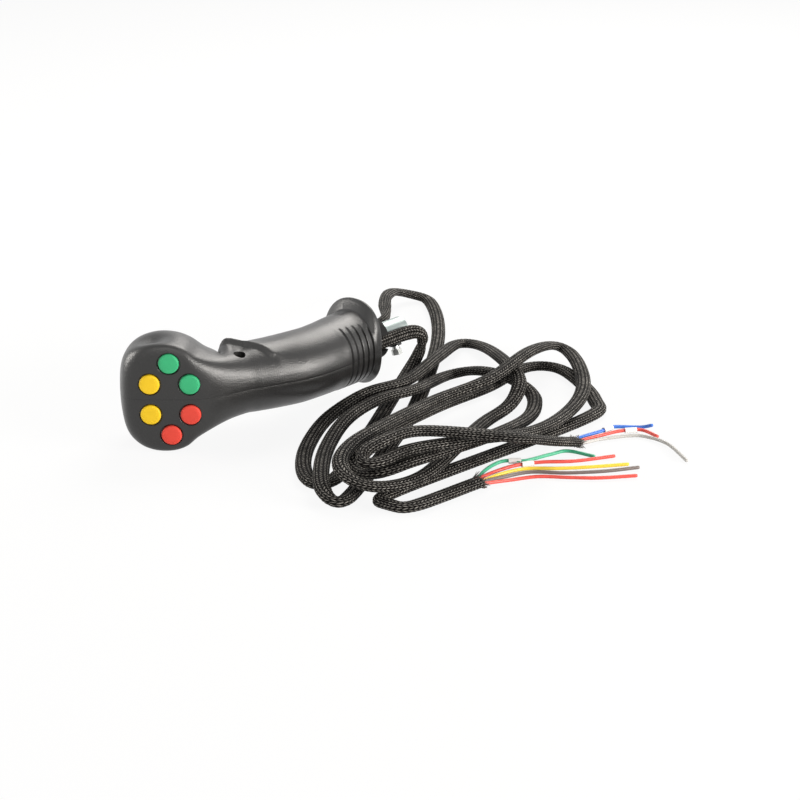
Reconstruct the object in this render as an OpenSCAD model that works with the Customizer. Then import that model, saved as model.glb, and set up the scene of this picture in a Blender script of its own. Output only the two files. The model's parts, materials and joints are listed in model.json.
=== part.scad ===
// Six-button control lever grip, lying on its side, with two braided leads.
// Origin: centre of the lever bore at the outer end of the steel sleeve.
// +X runs out of the bore, the two shells part at z = 0.

/* [Grip] */
// Wall of the two shells
wall = 2.4; // [2:0.1:2.8]
// Depth of the grooves round the base
groove_deep = 0.9; // [0.4:0.1:1.2]
// Steps between two stations of the loft
loft_steps = 2; // [1:1:3]

/* [Buttons] */
// Diameter of a button cap
cap_d = 10; // [9.4:0.1:10.2]
// How far a cap stands proud of the face
cap_proud = 0.8; // [0.3:0.1:1.4]
// Travel of a button
travel = 1.6; // [1:0.1:2]
// Centre distance of the two outer buttons
outer_pitch = 37.2; // [36.4:0.2:37.6]
// Spacing of the four inner buttons along the face
inner_len = 19.6; // [19:0.2:20]
// Spacing of the four inner buttons across the parting line
inner_wide = 15.8; // [15.4:0.2:16.2]

/* [Lever fitting] */
// Outer diameter of the steel sleeve
sleeve_d = 12; // [11:0.5:12]
// Bore for the lever
bore_d = 8; // [6:0.5:8.5]
// Length of the steel sleeve
sleeve_len = 62; // [50:1:66]
// Diameter of the rubber base collar
collar_d = 22.4; // [22:0.1:22.6]

/* [Leads] */
// Width of a flat braided lead
lead_wide = 8; // [7:0.5:8]
// Thickness of a flat braided lead
lead_thick = 4.6; // [4:0.2:4.6]
// Diameter of a wire
wire_d = 1.8; // [1.4:0.1:1.8]

/* [Hidden] */

black = "#2f2e30";
steel = "#c9d0cd";
grey = "#8d8f90";
green = "#3eba7d";
yellow = "#f4c832";
red = "#e54f42";
braid = "#3a3431";

// The face: a point at its middle, and the turn of its normal from -Y
face_mid = [-157, 12.2];
face_turn = 49;
along_face = [-cos(face_turn), sin(face_turn)];
into_face = [sin(face_turn), cos(face_turn)];
function on_plane(v, d) = face_mid + v * along_face + d * into_face;

// Stations from the top of the head to the base. Each holds the palm side
// point, the finger side point, half width, how far the widest place lies
// from the palm side, and how square the palm and finger sides are.
head = [
    [on_plane(26.5, 17), on_plane(26.8, 20), 2.5, 1.5, 2, 2],
    [on_plane(25.6, 10), on_plane(25.8, 28), 12.5, 8, 2.2, 2.4],
    [on_plane(22.5, 4), on_plane(22.3, 36), 20, 12, 2.6, 2.6],
    [on_plane(17, 0.7), on_plane(16.5, 41), 25, 13, 3.8, 2.7],
    [on_plane(9, 0), on_plane(8, 44), 27.8, 13, 6.5, 2.6],
    [on_plane(0, 0), on_plane(-1, 45), 28, 12, 7, 2.5],
    [on_plane(-7, 0), on_plane(-9, 43), 26, 11, 6, 2.4],
    [on_plane(-13, 0.3), on_plane(-17, 37), 21.8, 11, 4, 2.3],
    [[-138.5, -2.7], [-117, 16], 18.2, 11, 2.8, 2.2],
    [[-122, -7.3], [-108, 27.5], 17, 14, 2.4, 2.1]];
handle = [
    [[-114.5, -10.2], [-98, 28], 17, 15, 2.2, 2.1],
    [[-104, -14.5], [-87, 23.5], 17.5, 17, 2.1, 2.1],
    [[-90, -19], [-78, 19.5], 18, 19, 2.1, 2.1],
    [[-75, -20.5], [-70, 17.5], 18, 19, 2.1, 2.1],
    [[-64, -20.5], [-61, 17.5], 18.2, 19, 2.1, 2.1]];
// Grooved neck: a palm side line from the handle to the flange
neck_from = -62;
neck_to = -40;
groove_count = 5;
groove_pitch = 4.4;
groove_wide = 1.5;
function neck(x) = [[x, -20.5 + (x - neck_from) * 0.08],
    [x + 1, 17.5 + (x - neck_from) * 0.05], 18.2 + (x - neck_from) * 0.05, 19, 2.2, 2.1];
groove_xs = [for (i = [0:groove_count - 1]) neck_from + 1.5 + i * groove_pitch];
// A groove is four stations; the second number says how deep each lies
neck_rings = [for (x = groove_xs) each [
    [neck(x), 0], [neck(x + 0.25), 1], [neck(x + groove_wide - 0.25), 1], [neck(x + groove_wide), 0]]];
flange = [
    [[-39.6, -18.7], [-38.6, 20.5], 20.5, 19, 2.4, 2.1],
    [[-38, -18.3], [-37.4, 24], 23.8, 19.5, 2.5, 2.2],
    [[-36.4, -18], [-36.2, 25.5], 25, 19.5, 2.6, 2.3],
    [[-35, -17.8], [-35, 25.3], 24.8, 19.5, 2.6, 2.3],
    [[-34, -17], [-34, 24], 23.6, 18.7, 2.6, 2.3]];
shell_end = -34;

function spline(a, b, c, d, u) = 0.5 * ((2 * b) + (c - a) * u
    + (2 * a - 5 * b + 4 * c - d) * u * u + (3 * b - a - 3 * c + d) * u * u * u);
function flat_row(s) = [s[0].x, s[0].y, s[1].x, s[1].y, s[2], s[3], s[4], s[5]];
smooth_rows = [for (s = concat(head, handle)) flat_row(s)];
last_row = len(smooth_rows) - 1;
function row_at(i) = i < 0 ? 2 * smooth_rows[0] - smooth_rows[1]
    : i > last_row ? flat_row(neck(neck_from + 1)) : smooth_rows[i];
lofted = [for (i = [0:last_row - 1], k = [0:loft_steps - 1])
    spline(row_at(i - 1), row_at(i), row_at(i + 1), row_at(i + 2), k / loft_steps)];
rows = concat([for (r = lofted) [r, 0]], [[smooth_rows[last_row], 0]],
    [for (n = neck_rings) [flat_row(n[0]), n[1]]], [for (s = flange) [flat_row(s), 0]]);

function power(c, n) = sign(c) * pow(abs(c), 2 / n);
// One point of a section: angle 0 is the finger side, 180 the palm side
function skin(row, a, inset, deep) =
    let (t = [row[0], row[1]], f = [row[2], row[3]], long = norm(f - t), n = (f - t) / long,
        c = cos(a), front = c < 0, reach = (front ? row[5] : long - row[5]) - inset,
        e = front ? row[6] : row[7],
        cut = deep * groove_deep * max(0, min(1, (0.4 - c) / 0.3)),
        p = t + n * (row[5] + (reach - cut) * power(c, e)))
    [p.x, p.y, (row[4] - inset - cut) * power(sin(a), e)];

module skinned(rings) {
    m = len(rings[0]);
    last = len(rings) - 1;
    polyhedron(points = [for (r = rings) each r],
        faces = concat([[for (j = [0:m - 1]) j]], [[for (j = [m - 1:-1:0]) last * m + j]],
            [for (i = [0:last - 1], j = [0:m - 1]) each let (k = (j + 1) % m)
                [[i * m + j, (i + 1) * m + j, (i + 1) * m + k], [i * m + j, (i + 1) * m + k, i * m + k]]]),
        convexity = 6);
}

ring_steps = 36;
module form() {
    skinned([for (r = rows) [for (k = [0:ring_steps - 1])
        skin(r[0], 360 * (k + 0.5) / ring_steps, 0, r[1])]]);
}

// The cavity follows the skin, and keeps further off where the neck folds in
cavity_steps = 20;
cavity_first = 2;
neck_pull = [[0, 2], [2, 1.4], [4, 0], [7, 0], [7.5, 0.8], [8, 1.5], [8.5, 6.6], [9, 4.5], [9.5, 1.5], [10, 0]];
function pulled(r, e) = let (n = unit([r[2] - r[0], r[3] - r[1]]))
    [r[0], r[1], r[2] - n.x * e, r[3] - n.y * e, r[4], r[5], r[6], r[7]];
cavity_rows = [for (i = [cavity_first:len(lofted) - 1])
    pulled(lofted[i], lookup(i / loft_steps, neck_pull))];
module cavity() {
    skinned([for (r = concat(cavity_rows, [smooth_rows[last_row],
            flat_row([[-45, -19.5], [-44, 18], 18, 19, 2.1, 2.1]),
            flat_row([[-37, -17.6], [-37, 18], 18, 19, 2.1, 2.1])]))
        [for (k = [0:cavity_steps - 1]) skin(r, 360 * (k + 0.5) / cavity_steps, wall, 0)]]);
}

// Places on the face of the six buttons, along and across it
top_button = [0, outer_pitch / 2];
near_button = [-inner_len / 2, inner_wide / 2];
far_button = [inner_len / 2, inner_wide / 2];
function below(b) = [b.x, -b.y];
buttons = [top_button, near_button, far_button,
    below(top_button), below(near_button), below(far_button)];

// Puts what follows on the face, with its +Z running into the head
module on_face(place, depth = 0) {
    at = on_plane(place.x, depth);
    translate([at.x, at.y, place.y]) rotate([0, 0, 90 - face_turn]) rotate([0, 90, 0]) children();
}

// Button stack, measured from the face into the head
fit = 0.05;
hole_d = cap_d + 1;
housing_d = cap_d + 2;
lip_to = 4.7;
pocket_from = 2;
skirt_from = 5;
skirt_to = 6.2;
floor_at = 11.5;
housing_to = 15;
stem_d = 3;
plate_from = 12.2;
plate_thick = 1.8;
// The shoulder by which the plate keeps a housing in its pocket
shoulder_from = 11.4;
shoulder_d = 13.2;

// Screws: one beside the finger ledge, one in the back of the head
screw_places = [[-119, 2], on_plane(4, 33)];
boss_d = 9;
boss_tops = [14.5, 19];
head_pocket_d = 6;
screw_head_z = 9;
screw_d = 3;
// Posts that carry the switch plate
post_place = [0, 5];
post_d = 5;

sleeve_end = -sleeve_len;
rib_xs = [-58, -44];
rib_thick = 3;
loom_d = 4;
loom_y = 8.9;
collar_in = -38;
collar_out = -22;

module rod(d, x0, x1, y = 0) {
    translate([x0, y, 0]) rotate([0, 90, 0]) cylinder(d = d, h = x1 - x0, $fn = 64);
}

// Ridge above the screw hollow where the first finger rests
module finger_ledge() {
    ridge = [[-116.5, 19, 15.6], [-109.5, 10, 17], [-106, -4, 14.8]];
    for (i = [0:1]) hull() for (p = [ridge[i], ridge[i + 1]])
        translate(p) sphere(r = 3, $fn = 20);
}

module half_shell() {
    difference() {
        union() {
            form();
            finger_ledge();
        }
        difference() {
            cavity();
            for (i = [0:1]) translate([screw_places[i].x, screw_places[i].y, -1])
                cylinder(d = boss_d, h = boss_tops[i] + 7, $fn = 48);
            on_face(post_place) cylinder(d = post_d, h = plate_from, $fn = 48);
            for (x = rib_xs) translate([x, -30, -1]) cube([rib_thick, 60, 31]);
        }
        for (b = buttons) {
            on_face(b, -3) cylinder(d = hole_d, h = 8, $fn = 64);
            on_face(b, pocket_from) cylinder(d = housing_d + 2 * fit, h = 16, $fn = 64);
            on_face(b, shoulder_from - 0.3) cylinder(d = shoulder_d + 0.6, h = 12, $fn = 64);
        }
        rod(sleeve_d + 2 * fit, sleeve_end - 2, collar_in, 0);
        for (y = [-loom_y, loom_y]) rod(loom_d + 1, -66, collar_in, y);
        rod(collar_d + 2 * fit, collar_in - 1, shell_end + 1);
        on_face(post_place, 4) cylinder(d = 1.9, h = 10, $fn = 32);
        translate([-230, -100, -100]) cube([260, 200, 100]);
    }
}

module upper_shell() {
    color(black) difference() {
        half_shell();
        for (p = screw_places) translate([p.x, p.y, 0]) {
            translate([0, 0, screw_head_z]) cylinder(d = head_pocket_d, h = 30, $fn = 48);
            translate([0, 0, -1]) cylinder(d = screw_d + 0.2, h = 12, $fn = 32);
        }
    }
}

module lower_shell() {
    color(black) mirror([0, 0, 1]) difference() {
        half_shell();
        for (p = screw_places) translate([p.x, p.y, -1])
            cylinder(d = screw_d + 2 * fit, h = 12, $fn = 32);
    }
}

module screw(d, head_d, head_h, long) {
    difference() {
        union() {
            cylinder(d = head_d, h = head_h, $fn = 32);
            translate([0, 0, -long]) cylinder(d = d, h = long + 0.1, $fn = 32);
        }
        translate([0, 0, head_h - 0.9]) {
            translate([-head_d * 0.3, -0.35, 0]) cube([head_d * 0.6, 0.7, 2]);
            translate([-0.35, -head_d * 0.3, 0]) cube([0.7, head_d * 0.6, 2]);
        }
    }
}

module shell_screws() {
    color(steel) for (p = screw_places)
        translate([p.x, p.y, screw_head_z]) screw(screw_d, 5.6, 2.2, screw_head_z + 10);
}

module base_collar() {
    notch = lead_thick + 0.4;
    color("#1d1d1e") difference() {
        union() {
            rod(collar_d, collar_in, shell_end);
            rod(collar_d + 1, shell_end, collar_out);
        }
        rod(sleeve_d + 2 * fit, collar_in - 1, collar_out + 1);
        for (s = [-1, 1]) translate([collar_in - 1, s > 0 ? 6.4 : -6.4 - 8, -lead_wide / 2 - 0.2])
            cube([collar_out - collar_in + 2, 8, lead_wide + 0.4]);
    }
}

clamp_x = -7;
clamp_lean = 18;
module at_clamp(r) {
    translate([clamp_x, 0, 0]) rotate([180 - clamp_lean, 0, 0]) translate([0, 0, r]) children();
}

module lever_sleeve() {
    color(steel) difference() {
        rod(sleeve_d, sleeve_end, 0);
        rod(bore_d, sleeve_end - 1, 1);
        at_clamp(bore_d / 2 - 2) cylinder(d = 4 + 2 * fit, h = 6, $fn = 32);
    }
}

module clamp_screw() {
    color(steel) at_clamp(bore_d / 2 + 0.1) {
        cylinder(d = 4, h = 6.4, $fn = 32);
        translate([0, 0, 6.4]) cylinder(d = 5.8, h = 3, $fn = 6);
    }
}

module clamp_nut() {
    color("#202224") at_clamp(sleeve_d / 2 + 0.4) difference() {
        cylinder(d = 7.4, h = 2.2, $fn = 6);
        translate([0, 0, -1]) cylinder(d = 4 + 2 * fit, h = 5, $fn = 32);
    }
}

module switch_plate() {
    color("#3f6b4a") difference() {
        on_face([0, 0], plate_from) linear_extrude(plate_thick)
            hull() for (b = buttons) translate([-b.y, b.x]) circle(d = 13.4, $fn = 32);
        for (b = buttons) on_face(b) cylinder(d = housing_d + 2 * fit, h = 20, $fn = 64);
        for (s = [1, -1]) on_face([post_place.x, s * post_place.y])
            cylinder(d = 2.2, h = 20, $fn = 32);
    }
}

module plate_screws() {
    color(steel) for (s = [1, -1]) on_face([post_place.x, s * post_place.y], plate_from + plate_thick)
        screw(1.8, 3.6, 1.4, 7);
}

module cap(b, tint) {
    r = cap_d / 2;
    color(tint) on_face(b) union() {
        rotate_extrude($fn = 64) polygon([[0, -cap_proud], [r - 1.6, -cap_proud + 0.05],
            [r - 0.7, -cap_proud + 0.25], [r - 0.2, -cap_proud + 0.7], [r, -cap_proud + 1.3],
            [r, skirt_from], [r + 0.4, skirt_from], [r + 0.4, skirt_to], [0, skirt_to]]);
        cylinder(d = stem_d, h = floor_at + 1.5, $fn = 48);
    }
}

module housing(b) {
    color(grey) on_face(b) difference() {
        union() {
            translate([0, 0, pocket_from + 0.1])
                cylinder(d = housing_d, h = housing_to - pocket_from - 0.1, $fn = 64);
            translate([0, 0, shoulder_from])
                cylinder(d = shoulder_d, h = plate_from - shoulder_from - 0.02, $fn = 64);
        }
        cylinder(d = cap_d + 2 * fit, h = lip_to, $fn = 64);
        translate([0, 0, lip_to - 0.01]) cylinder(d = cap_d + 1, h = floor_at - lip_to, $fn = 64);
        cylinder(d = stem_d + 2 * fit, h = 20, $fn = 48);
    }
}

pin_side = 3.4;
module terminals() {
    color("#c8a24a") for (b = buttons, s = [-1, 1])
        on_face([b.x + s * pin_side, b.y], housing_to) cylinder(d = 1, h = 3.5, $fn = 24);
}

function unit(v) = v / norm(v);
function heading(pts, i) = unit(
    (i < len(pts) - 1 ? unit(pts[i + 1] - pts[i]) : [0, 0, 0]) + (i > 0 ? unit(pts[i] - pts[i - 1]) : [0, 0, 0]));
// Sweeps an oval along points; lean turns it on edge where it is given
module swept(pts, wide, thick, sides, leans = []) {
    skinned([for (i = [0:len(pts) - 1])
        let (t = heading(pts, i), h = unit(cross(t, [0.001, 0, 1])), u = cross(h, t),
            a = i < len(leans) ? leans[i] : 0,
            w = h * cos(a) + u * sin(a), n = cross(w, t))
        [for (k = [0:sides - 1]) let (q = 360 * (k + 0.5) / sides)
            pts[i] + w * cos(q) * wide / 2 + n * sin(q) * thick / 2]]);
}

turns = 4;
turn_steps = 8;
wind_r = 4.1;
spring_wire = 0.6;
module spring(b) {
    z0 = skirt_to + spring_wire / 2 + 0.05;
    z1 = floor_at - spring_wire / 2 - 0.05;
    coil = [for (i = [0:turns * turn_steps]) let (u = i / (turns * turn_steps))
        [wind_r * cos(360 * turns * u), wind_r * sin(360 * turns * u), z0 + (z1 - z0) * u]];
    color(steel) on_face(b) swept(coil, spring_wire, spring_wire, 5);
}

// Looms from the switches to the base collar, beside the steel sleeve
loom_1_route = [[-134, 18.5, 7], [-127, 11, 6], [-119, 9.5, 6], [-106, 4, 6], [-88, -4, 4],
    [-72, -8.6, 1], [-62, -8.9, 0], [-38, -8.9, 0]];
loom_2_route = [[-134, 18.5, -7], [-127, 11, -6], [-119, 9.5, -6], [-106, 8, -6], [-88, 7, -4],
    [-72, 8.6, -1], [-62, 8.9, 0], [-38, 8.9, 0]];

// Routes of the leads, from the collar to their cut ends
lead_1_route = [[-38, -8.9, 0], [-6, -8.9, 0], [6, -10, -2], [10, -8, -10], [5, -6, -20],
    [-12, -12, -25.5], [-80, -49, -25.5], [-120, -69, -25.5], [-136, -75, -25.5], [-144, -71, -25.5],
    [-132, -53, -25.5], [-108, -34, -25.5], [-80, -22, -22.5], [-54, -25, -16], [-31, -31, -15],
    [17, -13, -18.5], [57, 5, -25.5], [57, -13, -23.5], [25, -54, -14.5], [11, -74, -16.5],
    [-6, -81, -23], [-28, -82, -25.5], [-70, -99, -20.5], [-111, -111, -20.5], [-135, -108, -19],
    [-146, -99, -15.5], [-143, -87, -11.5], [-126, -78, -9.5], [-100, -73, -9.5], [-40, -59, -16],
    [-7, -68, -11.5], [37, -61, -9.5], [79, -49, -20.5], [65, -72, -20.5], [32, -100, -20.5],
    [-2, -114, -20.5], [-39, -120, -17.5], [-83, -116, -9.5], [-111, -103, -9], [-131, -100, -10.5],
    [-137, -96, -10.5], [-132, -91, -8], [-121, -94, -4.5], [-101, -100, -3.5], [-76, -135, -5],
    [-49, -136, -15], [-20, -133, -25.5]];
lead_2_route = [[-38, 8.9, 0], [-12, 8.9, 0], [10, 19, -1], [44, 50, -7], [74, 73, -14],
    [94, 84, -20], [105, 81, -24], [107, 70, -25.5], [80, 40, -25.5], [39, 7, -25.5], [-30, -38, -25.5],
    [-71, -60, -25.5], [-145, -94, -25.5], [-154, -90, -23.5], [-146, -78, -20.5], [-117, -54, -21],
    [-87, -40, -17.5], [-60, -38, -15], [-35, -41, -16], [13, -24, -25.5], [19, -41, -20.5],
    [20, -61, -20.5], [19, -77, -25.5], [-7, -95, -25], [-49, -108, -18], [-89, -109, -14.5],
    [-116, -104, -14.4], [-129, -100, -16.4], [-130, -88, -19], [-126, -79, -16], [-110, -72, -15],
    [-32, -52, -24.5], [12, -52, -25.5], [49, -48, -25.5], [61, -61, -25.5], [51, -84, -25.5],
    [32, -108, -25.5], [7, -118, -25.5], [-127, -105, -25.5], [-136, -113, -25.5],
    [-134, -122, -25.5], [-90, -128, -25.5]];
lead_leans = [90, 90, 80, 30];

// Routes of the wires, from the cut ends of the leads to their own ends
blue_route = [[-23.9, -131.2, -24.1], [-20.2, -130.8, -25.5], [-10, -130, -26.5], [3, -133, -26.5], [11, -134, -26.5],
    [21, -144, -27], [23, -150, -25]];
red_route = [[-23.7, -133.4, -24.1], [-20, -133, -25.5], [-12, -133, -26.5], [-1, -135.5, -27], [9, -140, -26.5],
    [17, -147, -26.5], [16, -158, -27]];
white_route = [[-23.5, -135.6, -24.1], [-19.8, -135.2, -25.5], [-14, -136, -26.5], [-5, -138.5, -27], [7, -146, -27],
    [12, -153, -27], [11, -167, -27], [-1, -186, -27]];
green_route = [[-93.6, -124.8, -25.5], [-89.6, -125.3, -25.5], [-76, -119.5, -27], [-66, -118, -27], [-60, -120, -26.5],
    [-54, -127, -26.5], [-38, -131, -27], [-29, -135, -27], [-26, -149, -27]];
scarlet_route = [[-93.8, -126.5, -24.4], [-89.9, -127, -24.4], [-75, -123.5, -27], [-62, -127, -26.5], [-50, -134, -26.5],
    [-37, -145, -27], [-19, -156, -27]];
yellow_route = [[-93.8, -126.6, -26.45], [-89.9, -127.1, -26.45], [-74, -127.5, -27], [-60, -133, -27], [-50, -144, -27],
    [-38, -155, -27], [-23, -167, -27]];
brown_route = [[-94.1, -128.45, -25.4], [-90.1, -129, -25.4], [-75, -131, -27], [-62, -137, -27], [-52, -150, -27],
    [-38, -163, -27], [-23, -173, -27]];
crimson_route = [[-94.3, -130.3, -25.5], [-90.4, -130.8, -25.5], [-76, -135.5, -27], [-64, -143, -27], [-55, -155, -27],
    [-46, -166, -27], [-32, -178, -27]];
module wire(route, tint) { color(tint) swept(route, wire_d, wire_d, 8); }

// A bare sleeve on the stretch of a wire between two route points
marker_long = 6;
module marker(a, b) {
    d = b - a;
    translate((a + b) / 2) rotate([0, acos(d.z / norm(d)), atan2(d.y, d.x)]) difference() {
        cylinder(d = 2.9, h = marker_long, center = true, $fn = 32);
        cylinder(d = 2.1, h = marker_long + 2, center = true, $fn = 32);
    }
}

module wire_markers() {
    color("#eceae4") {
        marker(blue_route[3], blue_route[4]);
        marker(red_route[4], red_route[5]);
        marker(green_route[4], green_route[5]);
        marker(scarlet_route[3], scarlet_route[4]);
    }
}

upper_shell();
lower_shell();
shell_screws();
base_collar();
lever_sleeve();
clamp_screw();
clamp_nut();
switch_plate();
plate_screws();
terminals();
cap(top_button, green);  // button_green_1
cap(near_button, green);  // button_green_2
cap(far_button, yellow);  // button_yellow_1
cap(below(far_button), yellow);  // button_yellow_2
cap(below(top_button), red);  // button_red_1
cap(below(near_button), red);  // button_red_2
housing(top_button);  // switch_green_1
housing(near_button);  // switch_green_2
housing(far_button);  // switch_yellow_1
housing(below(far_button));  // switch_yellow_2
housing(below(top_button));  // switch_red_1
housing(below(near_button));  // switch_red_2
spring(top_button);  // spring_green_1
spring(near_button);  // spring_green_2
spring(far_button);  // spring_yellow_1
spring(below(far_button));  // spring_yellow_2
spring(below(top_button));  // spring_red_1
spring(below(near_button));  // spring_red_2
color("#1c1c1c") swept(loom_1_route, loom_d, loom_d, 8);  // loom_1
color("#1c1c1c") swept(loom_2_route, loom_d, loom_d, 8);  // loom_2
color(braid) swept(lead_1_route, lead_wide, lead_thick, 10, lead_leans);  // cable_1
color(braid) swept(lead_2_route, lead_wide, lead_thick, 10, lead_leans);  // cable_2
wire(blue_route, "#2d62c8");  // blue_wire
wire(red_route, "#d8322c");  // red_wire
wire(white_route, "#c9c7c2");  // white_wire
wire(green_route, "#2f9a4e");  // green_wire
wire(scarlet_route, "#d8322c");  // scarlet_wire
wire(yellow_route, "#e2b62a");  // yellow_wire
wire(brown_route, "#7a6a5f");  // brown_wire
wire(crimson_route, "#c23a34");  // crimson_wire
wire_markers();
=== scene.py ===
import json
import math
import random
import bmesh
import bpy
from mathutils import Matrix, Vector
from mathutils.geometry import intersect_point_line


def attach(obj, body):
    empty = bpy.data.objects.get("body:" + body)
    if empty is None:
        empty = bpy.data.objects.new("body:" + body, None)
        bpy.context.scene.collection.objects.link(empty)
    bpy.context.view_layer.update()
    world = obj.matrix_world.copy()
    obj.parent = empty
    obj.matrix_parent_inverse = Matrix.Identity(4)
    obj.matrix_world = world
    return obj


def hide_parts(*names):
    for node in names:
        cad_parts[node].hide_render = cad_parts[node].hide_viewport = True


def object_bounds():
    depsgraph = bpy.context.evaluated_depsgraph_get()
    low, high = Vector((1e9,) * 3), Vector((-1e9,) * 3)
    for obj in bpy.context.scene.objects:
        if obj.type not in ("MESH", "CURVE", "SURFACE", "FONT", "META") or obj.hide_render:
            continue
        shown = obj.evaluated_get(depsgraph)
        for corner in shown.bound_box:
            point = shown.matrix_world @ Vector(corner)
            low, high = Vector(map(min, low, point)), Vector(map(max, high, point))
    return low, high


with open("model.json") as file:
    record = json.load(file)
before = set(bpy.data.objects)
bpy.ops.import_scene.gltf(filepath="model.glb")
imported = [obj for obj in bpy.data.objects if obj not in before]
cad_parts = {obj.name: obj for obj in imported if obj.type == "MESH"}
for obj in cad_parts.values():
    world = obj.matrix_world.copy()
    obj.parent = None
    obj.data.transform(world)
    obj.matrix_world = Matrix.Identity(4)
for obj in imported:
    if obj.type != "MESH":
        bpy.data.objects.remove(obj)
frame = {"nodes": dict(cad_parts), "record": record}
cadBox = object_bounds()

# Dresses the six-button lever grip: moulded shells, caps, steel, rubber, braid and wires.
# Shells, caps and their cutters are worked out in millimetres, everything else in metres.
mm = 0.001
floorHeight = cadBox[0][2]


def held(value):
    return max(0, min(1, value))


def eased(share):
    return share * share * (3 - 2 * share)


# A cosine squared off into a superellipse: 2 is round, more is squarer
def wave(angle, squareness):
    c = math.cos(angle)
    return math.copysign(abs(c) ** (2 / squareness), c)


cameraSettings = dict(place=(-0.7175, -0.6237, 0.3225), looks=(0.70458, 0.61248, -0.35837), lens=83)


def makeCamera(s):
    lensData = bpy.data.cameras.new("view")
    lensData.lens = s["lens"]
    lensData.clip_start = 0.01
    camera = bpy.data.objects.new("view", lensData)
    bpy.context.collection.objects.link(camera)
    camera.location = s["place"]
    camera.rotation_euler = Vector(s["looks"]).to_track_quat("-Z", "Y").to_euler()
    bpy.context.scene.camera = camera


makeCamera(cameraSettings)
print("camera placed")


# A wrapped socket does the maths, and a maker adds every other node
class Value:
    def __init__(self, maker, socket):
        self.maker = maker
        self.socket = socket

    def __add__(self, other):
        return self.maker.maths("ADD", self, other)

    def __sub__(self, other):
        return self.maker.maths("SUBTRACT", self, other)

    def __rsub__(self, other):
        return self.maker.maths("SUBTRACT", other, self)

    def __mul__(self, other):
        return self.maker.maths("MULTIPLY", self, other)

    __radd__ = __add__
    __rmul__ = __mul__


class Maker:
    def __init__(self, owner, surface="Principled BSDF"):
        owner.use_nodes = True
        self.owner = owner
        self.tree = owner.node_tree
        self.surface = self.tree.nodes[surface]

    def node(self, kind, settings=None, inputs=None, outlet=0):
        made = self.tree.nodes.new(kind)
        for name, value in (settings or {}).items():
            setattr(made, name, value)
        for name, value in (inputs or {}).items():
            self.feed(made.inputs[name], value)
        return Value(self, made.outputs[outlet])

    def feed(self, socket, value):
        if isinstance(value, Value):
            self.tree.links.new(value.socket, socket)
        elif hasattr(value, "__len__") and socket.type == "RGBA":
            socket.default_value = (*value, 1)
        else:
            socket.default_value = value

    def set(self, **sockets):
        for name, value in sockets.items():
            self.feed(self.surface.inputs[name.replace("_", " ")], value)

    def maths(self, operation, first, second=0.0):
        return self.node("ShaderNodeMath", {"operation": operation}, {0: first, 1: second})

    def place(self):
        return self.node("ShaderNodeTexCoord", outlet="Object")

    def noise(self, scale, detail=3, rough=0.55, vector=None):
        return self.node("ShaderNodeTexNoise", {}, {"Vector": vector or self.place(), "Scale": scale,
                                                   "Detail": detail, "Roughness": rough})

    def stretch(self, low, high, value):
        return self.node("ShaderNodeMapRange", {}, {"Value": value, "From Min": low, "From Max": high})

    # Sockets 6 and 7 are the two colours of a Mix node, and outlet 2 is their mixture
    def blend(self, factor, first, second):
        return self.node("ShaderNodeMix", {"data_type": "RGBA"}, {"Factor": factor, 6: first, 7: second},
                         outlet=2)

    def bump(self, height, distance):
        return self.node("ShaderNodeBump", {}, {"Height": height, "Distance": distance, "Strength": 1.0})

    def ray(self, kind):
        return self.node("ShaderNodeLightPath", outlet="Is " + kind + " Ray")


def shade(colour, factor):
    return tuple(min(1, c * factor) for c in colour)


# Clouds and wear are in spots to the metre. Each pair is where in the noise a change starts and is complete.
mouldingSettings = dict(clouds=70, cloudy=(0.3, 0.7), specks=(0.58, 0.78), speckTone=3.2,
                        wear=210, worn=(0.62, 0.74), wornTone=1.7, wornPolish=0.06,
                        mottle=(-1.2, 2.2), mottleDepth=0.25, mottleBase=0.12)
metalSettings = dict(clouds=160, cloudy=(0.45, 0.75), stained=0.5, scratch=0.000003,
                     lineRough=0.2, cloudRough=0.12, roughBase=0.13)


# A moulded, rubber or sheathed finish. Drift, specks and scuffs are shares, grain is in spots to the metre
# and depth in metres.
def moulded(name, colour, rough=0.5, drift=0.12, grain=2600, depth=0.00003, specks=0, scuffs=0, gloss=0.5):
    s = mouldingSettings
    m = Maker(bpy.data.materials.new(name))
    cloudy = m.stretch(*s["cloudy"], m.noise(s["clouds"], 4))
    fine = m.noise(grain, 2)
    tone = m.blend(cloudy, shade(colour, 1 - drift), shade(colour, 1 + drift))
    if specks:
        tone = m.blend(m.stretch(*s["specks"], fine) * specks, tone, shade(colour, s["speckTone"]))
    roughness = m.stretch(*s["mottle"], cloudy) * s["mottleDepth"] + (rough - s["mottleBase"])
    if scuffs:
        worn = m.stretch(*s["worn"], m.noise(s["wear"], 5, 0.7))
        tone = m.blend(worn * scuffs, tone, shade(colour, s["wornTone"]))
        roughness = roughness - worn * s["wornPolish"]
    m.set(Base_Color=tone, Roughness=roughness, Normal=m.bump(fine, depth), Specular_IOR_Level=gloss)
    return m.owner


# Streak holds how many brush lines there are to the metre each way
def metal(name, colour, rough, streak, stain=(0.35, 0.36, 0.35)):
    s = metalSettings
    m = Maker(bpy.data.materials.new(name))
    drawn = m.node("ShaderNodeVectorMath", {"operation": "MULTIPLY"}, {0: m.place(), 1: streak})
    lines = m.noise(1, 3, 0.6, drawn)
    cloudy = m.stretch(*s["cloudy"], m.noise(s["clouds"], 4, 0.65))
    roughness = lines * s["lineRough"] + cloudy * s["cloudRough"] + (rough - s["roughBase"])
    m.set(Base_Color=m.blend(cloudy * s["stained"], colour, stain), Metallic=1.0,
          Roughness=roughness, Normal=m.bump(lines, s["scratch"]))
    return m.owner


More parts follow.
